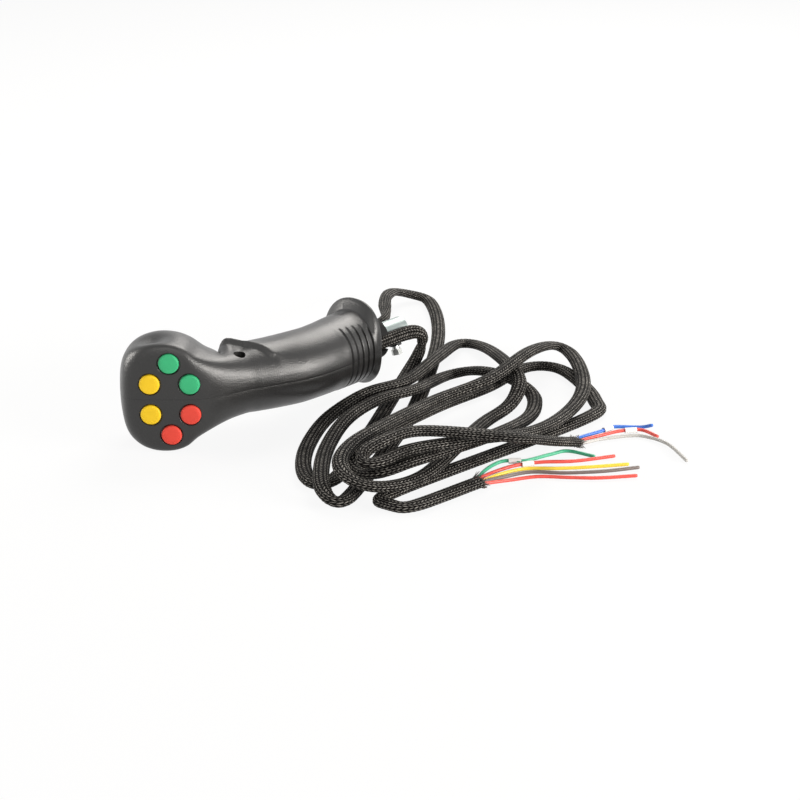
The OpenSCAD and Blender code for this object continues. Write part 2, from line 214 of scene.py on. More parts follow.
# The braid reads its stitches from the map: one unit along is a stitch, one across is a column of them
# The first colour is painted shade for the low gaps between stitches; thread and fleck are the yarn's own
# tones, with flecks falling at random
braidSettings = dict(paintedGapShade=(0.002, 0.0018, 0.0017), thread=(0.019, 0.018, 0.0168), fleck=(0.5, 0.475, 0.44),
                     slant=1.0, fullness=0.6, depth=0.6 * mm, lit=(0.55, 1.0), luck=(-0.5, 1.1),
                     patches=55, patchy=(0.35, 0.65), fibre=5200, fibrous=(0.25, 0.55), fuzz=0.15,
                     rough=0.5, fibreRough=0.2, gloss=0.06)


def braided(s):
    m = Maker(bpy.data.materials.new("braidedSleeve"))
    stitches = m.node("ShaderNodeUVMap", {"uv_map": "stitches"})
    along, across = [m.node("ShaderNodeSeparateXYZ", {}, {"Vector": stitches}, outlet=axis) for axis in "XY"]
    column = m.maths("FLOOR", across)
    side = m.maths("MODULO", column, 2.0) * 2.0 - 1.0
    offset = across - column - 0.5
    phase = along + offset * side * s["slant"]
    stitch = m.maths("FLOOR", phase)
    rise = m.maths("SINE", (phase - stitch) * math.pi)
    bulge = m.maths("COSINE", offset * math.pi)
    height = m.maths("POWER", rise * bulge, s["fullness"])
    cell = m.node("ShaderNodeCombineXYZ", {}, {"X": stitch, "Y": column})
    luck = m.node("ShaderNodeTexWhiteNoise", {"noise_dimensions": "3D"}, {"Vector": cell})
    patches = m.stretch(*s["patchy"], m.noise(s["patches"], 3))
    fibre = m.noise(s["fibre"], 2)
    pale = m.stretch(*s["luck"], luck) * (patches * 0.5 + 0.5) * m.stretch(*s["fibrous"], fibre)
    yarn = m.blend(pale, s["thread"], s["fleck"])
    # Painted shade: below the lit share of the stitch height the colour falls to near-black, so the gaps
    # between stitches are painted dark as if shaded and only the stitch tops show the yarn
    m.set(Base_Color=m.blend(m.stretch(*s["lit"], height), s["paintedGapShade"], yarn),
          Roughness=m.stretch(-1, 2, fibre) * s["fibreRough"] + s["rough"],
          Normal=m.bump(height + fibre * s["fuzz"], s["depth"]), Specular_IOR_Level=s["gloss"])
    return m.owner


def capFinish(colour, tint, drift, scuffs):
    return moulded(colour + "Cap", tint, 0.5, drift, grain=2400, depth=0.00002, scuffs=scuffs, gloss=0.25)


def sheath(colour, tint, rough, drift, scuffs):
    return moulded(colour + "Insulation", tint, rough, drift, grain=900, depth=0.00002, scuffs=scuffs)


finishes = {
    "grip_plastic": moulded("gripPlastic", (0.008, 0.0075, 0.0071), 0.34, 0.16, grain=1500, depth=0.00014,
                            specks=0.3, scuffs=0.25, gloss=0.62),
    "green_cap": capFinish("green", (0.041, 0.415, 0.178), 0.05, 0.1),
    "yellow_cap": capFinish("yellow", (0.85, 0.555, 0.016), 0.04, 0.08),
    "red_cap": capFinish("red", (0.74, 0.066, 0.044), 0.05, 0.08),
    "screw_steel": metal("screwSteel", (0.44, 0.45, 0.44), 0.34, (500, 500, 500)),
    "sleeve_steel": metal("sleeveSteel", (0.30, 0.345, 0.335), 0.42, (45, 800, 800)),
    "spring_wire": metal("springWire", (0.55, 0.55, 0.53), 0.3, (900, 900, 900)),
    "terminal_brass": metal("terminalBrass", (0.74, 0.56, 0.3), 0.36, (700, 700, 700), (0.4, 0.3, 0.16)),
    "black_nut": moulded("blackOxide", (0.01, 0.011, 0.012), 0.32, 0.2, grain=1500, depth=0.00002,
                         specks=0.15, scuffs=0.5),
    "collar_rubber": moulded("collarRubber", (0.006, 0.006, 0.006), 0.6, 0.2, grain=1800, depth=0.00004,
                             gloss=0.15),
    "plate_laminate": moulded("plateLaminate", (0.05, 0.15, 0.07), 0.45, 0.15, grain=900, depth=0.00002),
    "switch_body": moulded("switchBody", (0.22, 0.23, 0.23)),
    "loom_jacket": moulded("loomJacket", (0.016, 0.016, 0.016)),
    "braided_sleeve": braided(braidSettings),
    "blue_insulation": sheath("blue", (0.032, 0.155, 0.60), 0.4, 0.08, 0.15),
    "red_insulation": sheath("red", (0.72, 0.075, 0.055), 0.4, 0.08, 0.15),
    "white_insulation": sheath("white", (0.46, 0.45, 0.43), 0.42, 0.06, 0.1),
    "green_insulation": sheath("green", (0.05, 0.40, 0.22), 0.4, 0.08, 0.15),
    "yellow_insulation": sheath("yellow", (0.86, 0.62, 0.05), 0.4, 0.06, 0.1),
    "brown_insulation": sheath("brown", (0.155, 0.125, 0.115), 0.45, 0.15, 0.3),
    "marker_sleeve": moulded("markerSleeve", (0.86, 0.855, 0.84), 0.5, 0.03, grain=700, depth=0.00002),
}
frayedFibre = moulded("frayedFibre", (0.05, 0.042, 0.036), 0.6, 0.5, grain=700, specks=0.4)
for part in frame["record"]["subparts"]:
    solid = frame["nodes"][part["node"]]
    solid.data.materials.clear()
    solid.data.materials.append(finishes[part["material_slot"]])
print("finishes made")


def addPiece(name, points, faces, finish, smooth=True):
    mesh = bpy.data.meshes.new(name)
    mesh.from_pydata(points, [], faces)
    mesh.validate()
    piece = bpy.data.objects.new(name, mesh)
    bpy.context.collection.objects.link(piece)
    mesh.materials.append(finish)
    if smooth:
        mesh.polygons.foreach_set("use_smooth", [True] * len(mesh.polygons))
    return piece


# Rings of equal count joined into a closed skin with flat ends
def ringFaces(rings, around):
    faces = [tuple(range(around))[::-1], tuple((rings - 1) * around + k for k in range(around))]
    for i in range(rings - 1):
        for k in range(around):
            low, side = i * around, (k + 1) % around
            faces.append((low + k, low + side, low + around + side, low + around + k))
    return faces


# A smooth curve from b at u = 0 to c at u = 1, between neighbours a and d
def spline(a, b, c, d, u):
    square, cube = 2 * a - 5 * b + 4 * c - d, 3 * b - a - 3 * c + d
    return 0.5 * ((2 * b) + (c - a) * u + square * u * u + cube * u ** 3)


# Routes of the leads and wires, the same as those of the CAD solids
lead1Route = [(-0.038, -0.0089, 0), (-0.006, -0.0089, 0), (0.006, -0.01, -0.002), (0.01, -0.008, -0.01),
    (0.005, -0.006, -0.02), (-0.012, -0.012, -0.0255), (-0.08, -0.049, -0.0255), (-0.12, -0.069, -0.0255),
    (-0.136, -0.075, -0.0255), (-0.144, -0.071, -0.0255), (-0.132, -0.053, -0.0255),
    (-0.108, -0.034, -0.0255), (-0.08, -0.022, -0.0225), (-0.054, -0.025, -0.016),
    (-0.031, -0.031, -0.015), (0.017, -0.013, -0.0185), (0.057, 0.005, -0.0255), (0.057, -0.013, -0.0235),
    (0.025, -0.054, -0.0145), (0.011, -0.074, -0.0165), (-0.006, -0.081, -0.023),
    (-0.028, -0.082, -0.0255), (-0.07, -0.099, -0.0205), (-0.111, -0.111, -0.0205),
    (-0.135, -0.108, -0.019), (-0.146, -0.099, -0.0155), (-0.143, -0.087, -0.0115),
    (-0.126, -0.078, -0.0095), (-0.1, -0.073, -0.0095), (-0.04, -0.059, -0.016), (-0.007, -0.068, -0.0115),
    (0.037, -0.061, -0.0095), (0.079, -0.049, -0.0205), (0.065, -0.072, -0.0205), (0.032, -0.1, -0.0205),
    (-0.002, -0.114, -0.0205), (-0.039, -0.12, -0.0175), (-0.083, -0.116, -0.0095),
    (-0.111, -0.103, -0.009), (-0.131, -0.1, -0.0105), (-0.137, -0.096, -0.0105), (-0.132, -0.091, -0.008),
    (-0.121, -0.094, -0.0045), (-0.101, -0.1, -0.0035), (-0.076, -0.135, -0.005), (-0.049, -0.136, -0.015),
    (-0.02, -0.133, -0.0255)]
lead2Route = [(-0.038, 0.0089, 0), (-0.012, 0.0089, 0), (0.01, 0.019, -0.001), (0.044, 0.05, -0.007),
    (0.074, 0.073, -0.014), (0.094, 0.084, -0.02), (0.105, 0.081, -0.024), (0.107, 0.07, -0.0255),
    (0.08, 0.04, -0.0255), (0.039, 0.007, -0.0255), (-0.03, -0.038, -0.0255), (-0.071, -0.06, -0.0255),
    (-0.145, -0.094, -0.0255), (-0.154, -0.09, -0.0235), (-0.146, -0.078, -0.0205),
    (-0.117, -0.054, -0.021), (-0.087, -0.04, -0.0175), (-0.06, -0.038, -0.015), (-0.035, -0.041, -0.016),
    (0.013, -0.024, -0.0255), (0.019, -0.041, -0.0205), (0.02, -0.061, -0.0205), (0.019, -0.077, -0.0255),
    (-0.007, -0.095, -0.025), (-0.049, -0.108, -0.018), (-0.089, -0.109, -0.0145),
    (-0.116, -0.104, -0.0144), (-0.129, -0.1, -0.0164), (-0.13, -0.088, -0.019), (-0.126, -0.079, -0.016),
    (-0.11, -0.072, -0.015), (-0.032, -0.052, -0.0245), (0.012, -0.052, -0.0255), (0.049, -0.048, -0.0255),
    (0.061, -0.061, -0.0255), (0.051, -0.084, -0.0255), (0.032, -0.108, -0.0255), (0.007, -0.118, -0.0255),
    (-0.127, -0.105, -0.0255), (-0.136, -0.113, -0.0255), (-0.134, -0.122, -0.0255),
    (-0.09, -0.128, -0.0255)]
blueRoute = [(-0.0239, -0.1312, -0.0241), (-0.0202, -0.1308, -0.0255), (-0.01, -0.13, -0.0265),
    (0.003, -0.133, -0.0265), (0.011, -0.134, -0.0265), (0.021, -0.144, -0.027), (0.023, -0.15, -0.025)]
redRoute = [(-0.0237, -0.1334, -0.0241), (-0.02, -0.133, -0.0255), (-0.012, -0.133, -0.0265),
    (-0.001, -0.1355, -0.027), (0.009, -0.14, -0.0265), (0.017, -0.147, -0.0265), (0.016, -0.158, -0.027)]
whiteRoute = [(-0.0235, -0.1356, -0.0241), (-0.0198, -0.1352, -0.0255), (-0.014, -0.136, -0.0265),
    (-0.005, -0.1385, -0.027), (0.007, -0.146, -0.027), (0.012, -0.153, -0.027), (0.011, -0.167, -0.027),
    (-0.001, -0.186, -0.027)]
greenRoute = [(-0.0936, -0.1248, -0.0255), (-0.0896, -0.1253, -0.0255), (-0.076, -0.1195, -0.027),
    (-0.066, -0.118, -0.027), (-0.06, -0.12, -0.0265), (-0.054, -0.127, -0.0265), (-0.038, -0.131, -0.027),
    (-0.029, -0.135, -0.027), (-0.026, -0.149, -0.027)]
scarletRoute = [(-0.0938, -0.1265, -0.0244), (-0.0899, -0.127, -0.0244), (-0.075, -0.1235, -0.027),
    (-0.062, -0.127, -0.0265), (-0.05, -0.134, -0.0265), (-0.037, -0.145, -0.027), (-0.019, -0.156, -0.027)]
yellowRoute = [(-0.0938, -0.1266, -0.02645), (-0.0899, -0.1271, -0.02645), (-0.074, -0.1275, -0.027),
    (-0.06, -0.133, -0.027), (-0.05, -0.144, -0.027), (-0.038, -0.155, -0.027), (-0.023, -0.167, -0.027)]
brownRoute = [(-0.0941, -0.12845, -0.0254), (-0.0901, -0.129, -0.0254), (-0.075, -0.131, -0.027),
    (-0.062, -0.137, -0.027), (-0.052, -0.15, -0.027), (-0.038, -0.163, -0.027), (-0.023, -0.173, -0.027)]
crimsonRoute = [(-0.0943, -0.1303, -0.0255), (-0.0904, -0.1308, -0.0255), (-0.076, -0.1355, -0.027),
    (-0.064, -0.143, -0.027), (-0.055, -0.155, -0.027), (-0.046, -0.166, -0.027), (-0.032, -0.178, -0.027)]
# How far the flat lead is turned on edge at its first route points, in degrees
leadLeans = (90, 90, 80, 30)


def smoothRoute(points, step):
    points = [Vector(p) for p in points]
    ends = [2 * points[0] - points[1]] + points + [2 * points[-1] - points[-2]]
    dense = []
    for i in range(len(points) - 1):
        count = max(2, round((points[i + 1] - points[i]).length / step))
        for k in range(count):
            dense.append((i + k / count, spline(*ends[i:i + 4], k / count)))
    dense.append((len(points) - 1, points[-1]))
    return dense


nearlyUp = Vector((0.001, 0, 1))  # tilted a little, so an upright run still has a sideways direction


def heading(points, i):
    before, after = points[max(0, i - 1)], points[min(len(points) - 1, i + 1)]
    return (after - before).normalized()


# The dense route evened out to one step and rounded by a soft average, ends kept
def evened(dense, step, soften):
    far = [0]
    for (_, a), (_, b) in zip(dense, dense[1:]):
        far.append(far[-1] + (b - a).length)
    count = round(far[-1] / step)
    even, j = [], 0
    for i in range(count + 1):
        goal = far[-1] * i / count
        while j < len(far) - 2 and far[j + 1] < goal:
            j += 1
        share = (goal - far[j]) / (far[j + 1] - far[j])
        (low, a), (high, b) = dense[j:j + 2]
        even.append((low + (high - low) * share, a.lerp(b, share)))
    reach = round(soften * 2.5 / step)  # past this, a neighbour counts for next to nothing
    weights = [math.exp(-0.5 * (k * step / soften) ** 2) for k in range(reach + 1)]
    rounded = []
    for i, (where, p) in enumerate(even):
        side = min(reach, i, count - i)
        total = p * weights[0]
        for k in range(1, side + 1):
            total = total + (even[i - k][1] + even[i + k][1]) * weights[k]
        rounded.append((where, total / (weights[0] + 2 * sum(weights[1:side + 1]))))
    return rounded


# Which way the flat lead is wide, from its heading and its place between two route points
def widthAt(t, where, leans):
    before = int(where)
    first, second = [leans[i] if i < len(leans) else 0 for i in (before, before + 1)]
    lean = math.radians(first + (second - first) * eased(where - before))
    level = t.cross(nearlyUp).normalized()
    return level * math.cos(lean) + level.cross(t) * math.sin(lean)


def bendRadius(path, i, reach):
    a, b, c = path[max(0, i - reach)], path[i], path[min(len(path) - 1, i + reach)]
    turn = (b - a).angle(c - b, 0)
    return (c - a).length / 2 / max(turn, 0.001)


def pathLength(points):
    return sum((b - a).length for a, b in zip(points, points[1:]))


leadSettings = dict(wide=8 * mm, thick=4.6 * mm, squareness=2.3, step=0.85 * mm, around=48, columns=14,
                    stitch=2 * mm, nub=0.26 * mm, sunk=0.6, soften=4.4 * mm)
# A lead gets narrower and a little thicker where it bends more tightly than the wider of these radii
bendSettings = dict(tight=16 * mm, tighter=7 * mm, reach=4, spread=6, narrow=0.24, swell=0.3)


def squeezes(path, s):
    found = []
    for i in range(len(path)):
        found.append(held((s["tight"] - bendRadius(path, i, s["reach"])) / (s["tight"] - s["tighter"])))
    return found


def mapStitches(lead, along, s):
    stitches = lead.data.uv_layers.new(name="stitches")
    for face in lead.data.polygons:
        last = face.vertices[0] % s["around"] == s["around"] - 1 and len(face.vertices) == 4
        for loop in face.loop_indices:
            v = lead.data.loops[loop].vertex_index
            k = v % s["around"]
            across = s["around"] if last and k == 0 else k
            stitches.data[loop].uv = (along[v // s["around"]], across / s["around"] * s["columns"])


def makeLead(name, route, leans, s, bends):
    dense = evened(smoothRoute(route, s["step"]), s["step"], s["soften"])
    lowest = floorHeight + s["thick"] / 2 + s["nub"]
    path = [Vector((p.x, p.y, max(p.z, lowest))) for _, p in dense]
    squeeze = squeezes(path, bends)
    points, along, far = [], [], 0
    for i, (where, _) in enumerate(dense):
        far += (path[i] - path[i - 1]).length if i else 0
        along.append(far / s["stitch"])
        near = squeeze[max(0, i - bends["spread"]):i + bends["spread"] + 1]
        tight = sum(near) / len(near)
        wide = s["wide"] * (1 - bends["narrow"] * tight)
        thick = s["thick"] * (1 + bends["swell"] * bends["narrow"] * tight)
        t = heading(path, i)
        w = widthAt(t, where, leans)
        n = w.cross(t)
        for k in range(s["around"]):
            a = 2 * math.pi * k / s["around"]
            column = k / s["around"] * s["columns"]
            offset = column % 1 - 0.5
            turn = 1 if int(column) % 2 else -1
            slope = offset * turn * braidSettings["slant"]
            rise = abs(math.sin(math.pi * (along[-1] + slope))) * math.cos(math.pi * offset)
            out = s["nub"] * (rise - s["sunk"])
            points.append(path[i] + w * (wave(a, s["squareness"]) * (wide / 2 + out))
                          + n * (wave(a - math.pi / 2, s["squareness"]) * (thick / 2 + out)))
    points = [Vector((p.x, p.y, max(p.z, floorHeight))) for p in points]
    lead = addPiece(name, points, ringFaces(len(path), s["around"]), finishes["braided_sleeve"])
    mapStitches(lead, along, s)
    return lead, path


wireSettings = dict(radius=0.9 * mm, step=0.7 * mm, around=14, uneven=0.02, cutEnd=0.8)


def roundRings(path, radii, around):
    points = []
    for i, p in enumerate(path):
        t = heading(path, i)
        w = t.cross(nearlyUp).normalized()
        n = w.cross(t)
        for k in range(around):
            a = 2 * math.pi * k / around
            points.append(p + radii[i] * (w * math.cos(a) + n * math.sin(a)))
    return points


def makeWire(name, route, finish, s):
    path = [p for _, p in smoothRoute(route, s["step"])]
    path = [Vector((p.x, p.y, max(p.z, floorHeight + s["radius"]))) for p in path]
    drift = random.Random(name)
    radii = [s["radius"] * (1 + s["uneven"] * drift.uniform(-1, 1)) for _ in path]
    radii[-1] *= s["cutEnd"]
    rings = roundRings(path, radii, s["around"])
    return addPiece(name, rings, ringFaces(len(path), s["around"]), finish), path


# Cut threads that stand out round the end of a lead: rooted inside it, each bent once and ending thin
fraySettings = dict(count=64, longest=4.2 * mm, shortest=1.6 * mm, radius=0.17 * mm, flare=(0.1, 0.75),
                    rooted=1.2 * mm, rootWide=0.47, rootThick=0.46, jitter=0.3, sway=0.5,
                    curl=(-0.25, 0.5), sideways=0.6, bend=0.35, point=0.5, around=5)


def makeFray(name, path, wide, thick, s):
    luck = random.Random(name)
    end, t = path[-1], heading(path, len(path) - 1)
    w = t.cross(Vector((0, 0, 1))).normalized()
    n = w.cross(t)
    points, faces = [], []
    for i in range(s["count"]):
        a = 2 * math.pi * (i + luck.uniform(-s["jitter"], s["jitter"])) / s["count"]
        out = w * math.cos(a) + n * math.sin(a)
        root = end - t * s["rooted"] + w * (math.cos(a) * wide * s["rootWide"])
        root = root + n * (math.sin(a) * thick * s["rootThick"])
        reach = luck.uniform(s["shortest"], s["longest"])
        side = luck.uniform(-s["sway"], s["sway"]) * t.cross(out)
        way = (t + out * luck.uniform(*s["flare"]) + side).normalized()
        curl = out * luck.uniform(*s["curl"]) + side * s["sideways"]
        strand = [root, root + way * reach * 0.5, root + way * reach + curl * reach * s["bend"]]
        strand = [Vector((p.x, p.y, max(p.z, floorHeight + s["radius"]))) for p in strand]
        first = len(points)
        points += roundRings(strand, [s["radius"], s["radius"], s["radius"] * s["point"]], s["around"])
        faces += [tuple(first + v for v in face) for face in ringFaces(len(strand), s["around"])]
    return addPiece(name, points, faces, frayedFibre)


leads = {"1": (lead1Route, dict(blue=blueRoute, red=redRoute, white=whiteRoute)),
         "2": (lead2Route, dict(green=greenRoute, scarlet=scarletRoute, yellow=yellowRoute,
                                brown=brownRoute, crimson=crimsonRoute))}
insulation = dict(blue="blue", red="red", white="white", green="green", scarlet="red", yellow="yellow",
                  brown="brown", crimson="red")
for number, (route, wires) in leads.items():
    lead, path = makeLead("lead" + number, route, leadLeans, leadSettings, bendSettings)
    fray = makeFray("fray" + number, path, leadSettings["wide"], leadSettings["thick"], fraySettings)
    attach(lead, "grip")
    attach(fray, "grip")
    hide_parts("cable_" + number)
    print("lead", number, "is", round(pathLength(path), 4))
    for wire, wireRoute in wires.items():
        slotName = insulation[wire] + "_insulation"
        piece, wirePath = makeWire(wire + "Wire", wireRoute, finishes[slotName], wireSettings)
        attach(piece, "grip")
        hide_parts(wire + "_wire")
        print("wire", wire, "is", round(pathLength(wirePath), 4))
print("leads and wires laid")


# The button face is a plane: a point at its middle, and how far its normal turns from -Y
faceMid = Vector((-0.157, 0.0122, 0))
faceTurn = math.radians(49)
alongFace = Vector((-math.cos(faceTurn), math.sin(faceTurn), 0))
intoFace = Vector((math.sin(faceTurn), math.cos(faceTurn), 0))


def onFace(v, depth):
    at = faceMid + alongFace * v * mm + intoFace * depth * mm
    return (at.x / mm, at.y / mm)


# Stations in millimetres from the top of the head to the base: palm side point, finger side point,
# half width, widest place from the palm side, and how square the palm and finger sides are
headStations = [(onFace(26.5, 17), onFace(26.8, 20), 2.5, 1.5, 2, 2),
    (onFace(25.6, 10), onFace(25.8, 28), 12.5, 8, 2.2, 2.4),
    (onFace(22.7, 3.2), onFace(22.3, 36), 20.2, 12, 3.3, 2.6),
    (onFace(17.2, 0.5), onFace(16.5, 41), 25.2, 13, 5, 2.7),
    (onFace(9, 0), onFace(8, 44), 27.9, 13, 8.5, 2.6),
    (onFace(0, 0), onFace(-1, 45), 28, 12, 9.5, 2.4),
    (onFace(-7, 0), onFace(-9, 43), 25.7, 11, 8, 2.3),
    (onFace(-13, 0.3), onFace(-17, 37), 21, 11, 5.5, 2.2),
    ((-138.5, -2.7), (-117, 16), 17, 11, 3, 2.1),
    ((-122, -7.3), (-108, 27.5), 16.3, 14, 2.4, 2.1)]
handleStations = [((-114.5, -10.2), (-98, 28), 16.8, 15, 2.2, 2.1),
    ((-104, -14.5), (-87, 23.5), 17.5, 17, 2.1, 2.1),
    ((-90, -19), (-78, 19.5), 18, 19, 2.1, 2.1),
    ((-75, -20.5), (-70, 17.5), 18, 19, 2.1, 2.1),
    ((-64, -20.5), (-61, 17.5), 18.2, 19, 2.1, 2.1)]
flangeStations = [((-39.8, -18.8), (-38.6, 18.8), 19.8, 19, 2.4, 2.05),
    ((-38.2, -18.4), (-37, 21.6), 23.4, 19, 2.5, 2.05),
    ((-36.4, -18), (-35.7, 23.2), 25, 19, 2.6, 2.05),
    ((-35, -17.8), (-34.8, 23.1), 24.8, 19, 2.6, 2.05),
    ((-34, -17), (-34, 22), 23.6, 18.5, 2.6, 2.05)]
# The neck is straight, with grooves that fade out towards the finger side, sooner near the flange
neckSettings = dict(start=-62, end=-40.6, step=0.22, palm=-20.5, palmSlope=0.08, finger=17.5, half=18.2,
                    slope=0.05, lean=1, widest=19, squareness=(2.2, 2.1))
grooveSettings = dict(first=-60.5, pitch=4.4, wide=1.35, deep=1.1, count=5, flank=0.55, crisp=4,
                      fadeFrom=-60, fadeAt=-0.42, fadeSlope=0.0106, fadeWide=0.16)
shellSettings = dict(steps=13, around=196, seam=0.09, seamDeep=0.1, parting=0.03, crease=38,
                     flangeFrom=-41, flangeOver=3.5, flangeDrawn=0.15, base=[(11.3, -39), (11.3, -33)])


def neckStation(x, s):
    far = x - s["start"]
    return ((x, s["palm"] + far * s["palmSlope"]), (x + s["lean"], s["finger"] + far * s["slope"]),
            s["half"] + far * s["slope"], s["widest"], *s["squareness"])


def flat(station):
    return [*station[0], *station[1], *station[2:]]


def grooveDepth(x, s):
    near = min(abs(x - (s["first"] + i * s["pitch"] + s["wide"] / 2)) for i in range(s["count"]))
    return s["deep"] * max(0, 1 - (near / (s["wide"] * s["flank"])) ** s["crisp"])


def denseStations(stations, steps):
    table = [flat(station) for station in stations]
    table = [[2 * a - b for a, b in zip(table[0], table[1])]] + table
    table.append(flat(neckStation(neckSettings["start"] + 1, neckSettings)))
    found = []
    for i in range(len(stations) - 1):
        for k in range(steps):
            found.append([spline(*four, k / steps) for four in zip(*table[i:i + 4])])
    return found + [table[-2]]


# Every row of the shell is a station and the depth of its groove
def shellRows(steps, s):
    rows = [(row, 0) for row in denseStations(headStations + handleStations, steps)][:-1]
    count = round((s["end"] - s["start"]) / s["step"])
    for i in range(count + 1):
        x = s["start"] + (s["end"] - s["start"]) * i / count
        rows.append((flat(neckStation(x, s)), grooveDepth(x, grooveSettings)))
    return rows + [(flat(station), 0) for station in flangeStations]


def skinPoint(row, angle, inset, deep, s):
    palmX, palmY, fingerX, fingerY, half, widest, palmSquare, fingerSquare = row
    palm, finger = Vector((palmX, palmY, 0)), Vector((fingerX, fingerY, 0))
    across = finger - palm
    long = across.length
    c = math.cos(angle)
    limit = s["fadeAt"] - (palmX - s["fadeFrom"]) * s["fadeSlope"]
    cut = deep * held((limit - c) / s["fadeWide"])
    onPalmSide = c < 0
    squareness = palmSquare if onPalmSide else fingerSquare
    reach = (widest if onPalmSide else long - widest) - inset - cut
    at = palm + across / long * (widest + reach * wave(angle, squareness))
    return Vector((at.x, at.y, (half - inset - cut) * wave(angle - math.pi / 2, squareness)))


# The finger ledge is a step, tallest at the finger side, over a seat that rises a little to meet its tip.
# Its line is in millimetres, and share runs along that line from 0 at the tip to 1 at the far end.
ledgeSettings = dict(line=((-117, 15.8, 15.8), (-114, 13.5, 16.3), (-110, 8.5, 16.8), (-107, -0.5, 16.3),
                           (-105.3, -7, 14.2)), lip=5.1, steep=1.2, gentle=6, gentlePower=1.2, ramp=3.9,
                     rampWide=7, rampShare=0.5, tipShare=0.2, tipStart=0.02, fall=0.72, fallPower=0.7,
                     headward=(-1, -0.5, 0), turn=0.9, zone=(-132, -88), above=4)
# Shallow hollows beside the neck and on top of the head: middle, width and depth
dimples = [((-44.5, 4.5, 18.4), 3.4, 1.3), ((-152.5, 28, 28.3), 7, 3.1)]


def ledgeRise(p, s):
    best, share, toward = 99, 0, 0
    line = [Vector(q) for q in s["line"]]
    for i, (a, b) in enumerate(zip(line, line[1:])):
        t = held(intersect_point_line(p, a, b)[1])
        away = p - a.lerp(b, t)
        if away.length < best:
            best, share = away.length, (i + t) / (len(line) - 1)
            toward = away.dot(Vector(s["headward"]))
    lip = s["lip"] * min(1, (share + s["tipStart"]) / s["tipShare"])
    lip *= 1 - s["fall"] * share ** s["fallPower"]
    ramp = s["ramp"] * max(0, 1 - share / s["rampShare"])
    behind = eased(held(0.5 - s["turn"] * toward / max(best, 0.01)))
    front = ramp * math.exp(-(best / s["rampWide"]) ** 2) + lip * math.exp(-(best / s["steep"]) ** 2)
    back = (ramp + lip) * math.exp(-(best / s["gentle"]) ** s["gentlePower"])
    return front + (back - front) * behind


def skinRise(p, s):
    inZone = s["zone"][0] < p.x < s["zone"][1] and p.z > s["above"]
    rise = ledgeRise(p, s) if inZone else 0
    for centre, wide, deep in dimples:
        rise -= deep * math.exp(-((p - Vector(centre)).length / wide) ** 2)
    return rise


# Each half is made with +Z outward. The normal at its middle says which way its faces wind.
def shellHalf(rows, s, side):
    around = s["around"] // 2
    points = []
    for row, deep in rows:
        for k in range(around + 1):
            angle = math.pi * k / around
            atSeam = k in (0, around)
            p = skinPoint(row, angle, s["seamDeep"] if atSeam else 0, deep, grooveSettings)
            p.z = s["parting"] if atSeam else max(p.z, s["seam"])
            points.append(p)
    n = around + 1
    faces = ringFaces(len(rows), n)
    spare = bpy.data.meshes.new("spare")
    spare.from_pydata(points, [], faces)
    normals = [v.normal.copy() for v in spare.vertices]
    turned = -1 if normals[len(rows) // 2 * n + around // 2].z < 0 else 1
    bpy.data.meshes.remove(spare)
    lifted = []
    for p, normal in zip(points, normals):
        q = p + normal * turned * (skinRise(p, ledgeSettings) if side > 0 else 0)
        if side < 0:
            q.z *= 1 - s["flangeDrawn"] * held((p.x - s["flangeFrom"]) / s["flangeOver"])
        lifted.append(Vector((q.x, q.y, q.z * side)) * mm)
    if turned * side < 0:
        faces = [face[::-1] for face in faces]
    return lifted, faces


# A profile of radius and height pairs, in millimetres, turned round an axis
def lathe(profile, origin, axis, around=96):
    axis = axis.normalized()
    u = axis.cross(Vector((0.01, 0.02, 1))).normalized()  # tilted, so no axis used here is along it
    v = axis.cross(u)
    points, rings = [], []
    for radius, height in profile:
        first = len(points)
        count = 1 if radius == 0 else around
        for k in range(count):
            a = 2 * math.pi * k / around
            points.append(origin + axis * height * mm + (u * math.cos(a) + v * math.sin(a)) * radius * mm)
        rings.append((first, count))
    faces = []
    for (first, count), (second, other) in zip(rings, rings[1:]):
        for k in range(around):
            side = (k + 1) % around
            quad = [first + k % count, second + k % other, second + side % other, first + side % count]
            faces.append(tuple(dict.fromkeys(quad)))
    for (first, count), turn in ((rings[0], 1), (rings[-1], -1)):
        if count > 1:
            faces.append(tuple(first + k for k in range(count))[::turn])
    return points, faces


# Places are along and across the face from its middle. Hole and cap are radius and depth below the face.
buttonSettings = dict(
    places={"green_1": (0, 18.6), "green_2": (-9.8, 7.9), "yellow_1": (9.8, 7.9), "yellow_2": (9.8, -7.9),
            "red_1": (0, -18.6), "red_2": (-9.8, -7.9)},
    hole=[(6, -3), (6, -0.1), (5.5, 0.35), (5.5, 2), (6.25, 2), (6.25, 16)],
    cap=[(0, -0.8), (2.4, -0.79), (3.9, -0.74), (4.45, -0.64), (4.75, -0.45), (4.93, -0.15), (5, 0.3),
         (5, 4.98), (5.4, 5), (5.4, 6.2), (1.5, 6.2), (1.5, 13), (0, 13)], crease=40)


def facePlace(place):
    return faceMid + alongFace * place[0] * mm + Vector((0, 0, place[1] * mm))


def addCutter(name, parts):
    points, faces = [], []
    for morePoints, moreFaces in parts:
        first = len(points)
        points += morePoints
        faces += [tuple(first + v for v in face) for face in moreFaces]
    mesh = bpy.data.meshes.new(name)
    mesh.from_pydata(points, [], faces)
    tidy = bmesh.new()
    tidy.from_mesh(mesh)
    bmesh.ops.recalc_face_normals(tidy, faces=tidy.faces)
    tidy.to_mesh(mesh)
    tidy.free()
    cutter = bpy.data.objects.new(name, mesh)
    bpy.context.collection.objects.link(cutter)
    return cutter


# The crease angle keeps rims sharp, in degrees
def cutAway(piece, cutter, crease):
    cut = piece.modifiers.new("cut", "BOOLEAN")
    cut.operation = "DIFFERENCE"
    cut.solver = "EXACT"
    cut.object = cutter
    bpy.context.view_layer.update()
    done = bpy.data.meshes.new_from_object(piece.evaluated_get(bpy.context.evaluated_depsgraph_get()))
    piece.modifiers.clear()
    old, piece.data = piece.data, done
    bpy.data.meshes.remove(old)
    done.polygons.foreach_set("use_smooth", [True] * len(done.polygons))
    done.set_sharp_from_angle(angle=math.radians(crease))


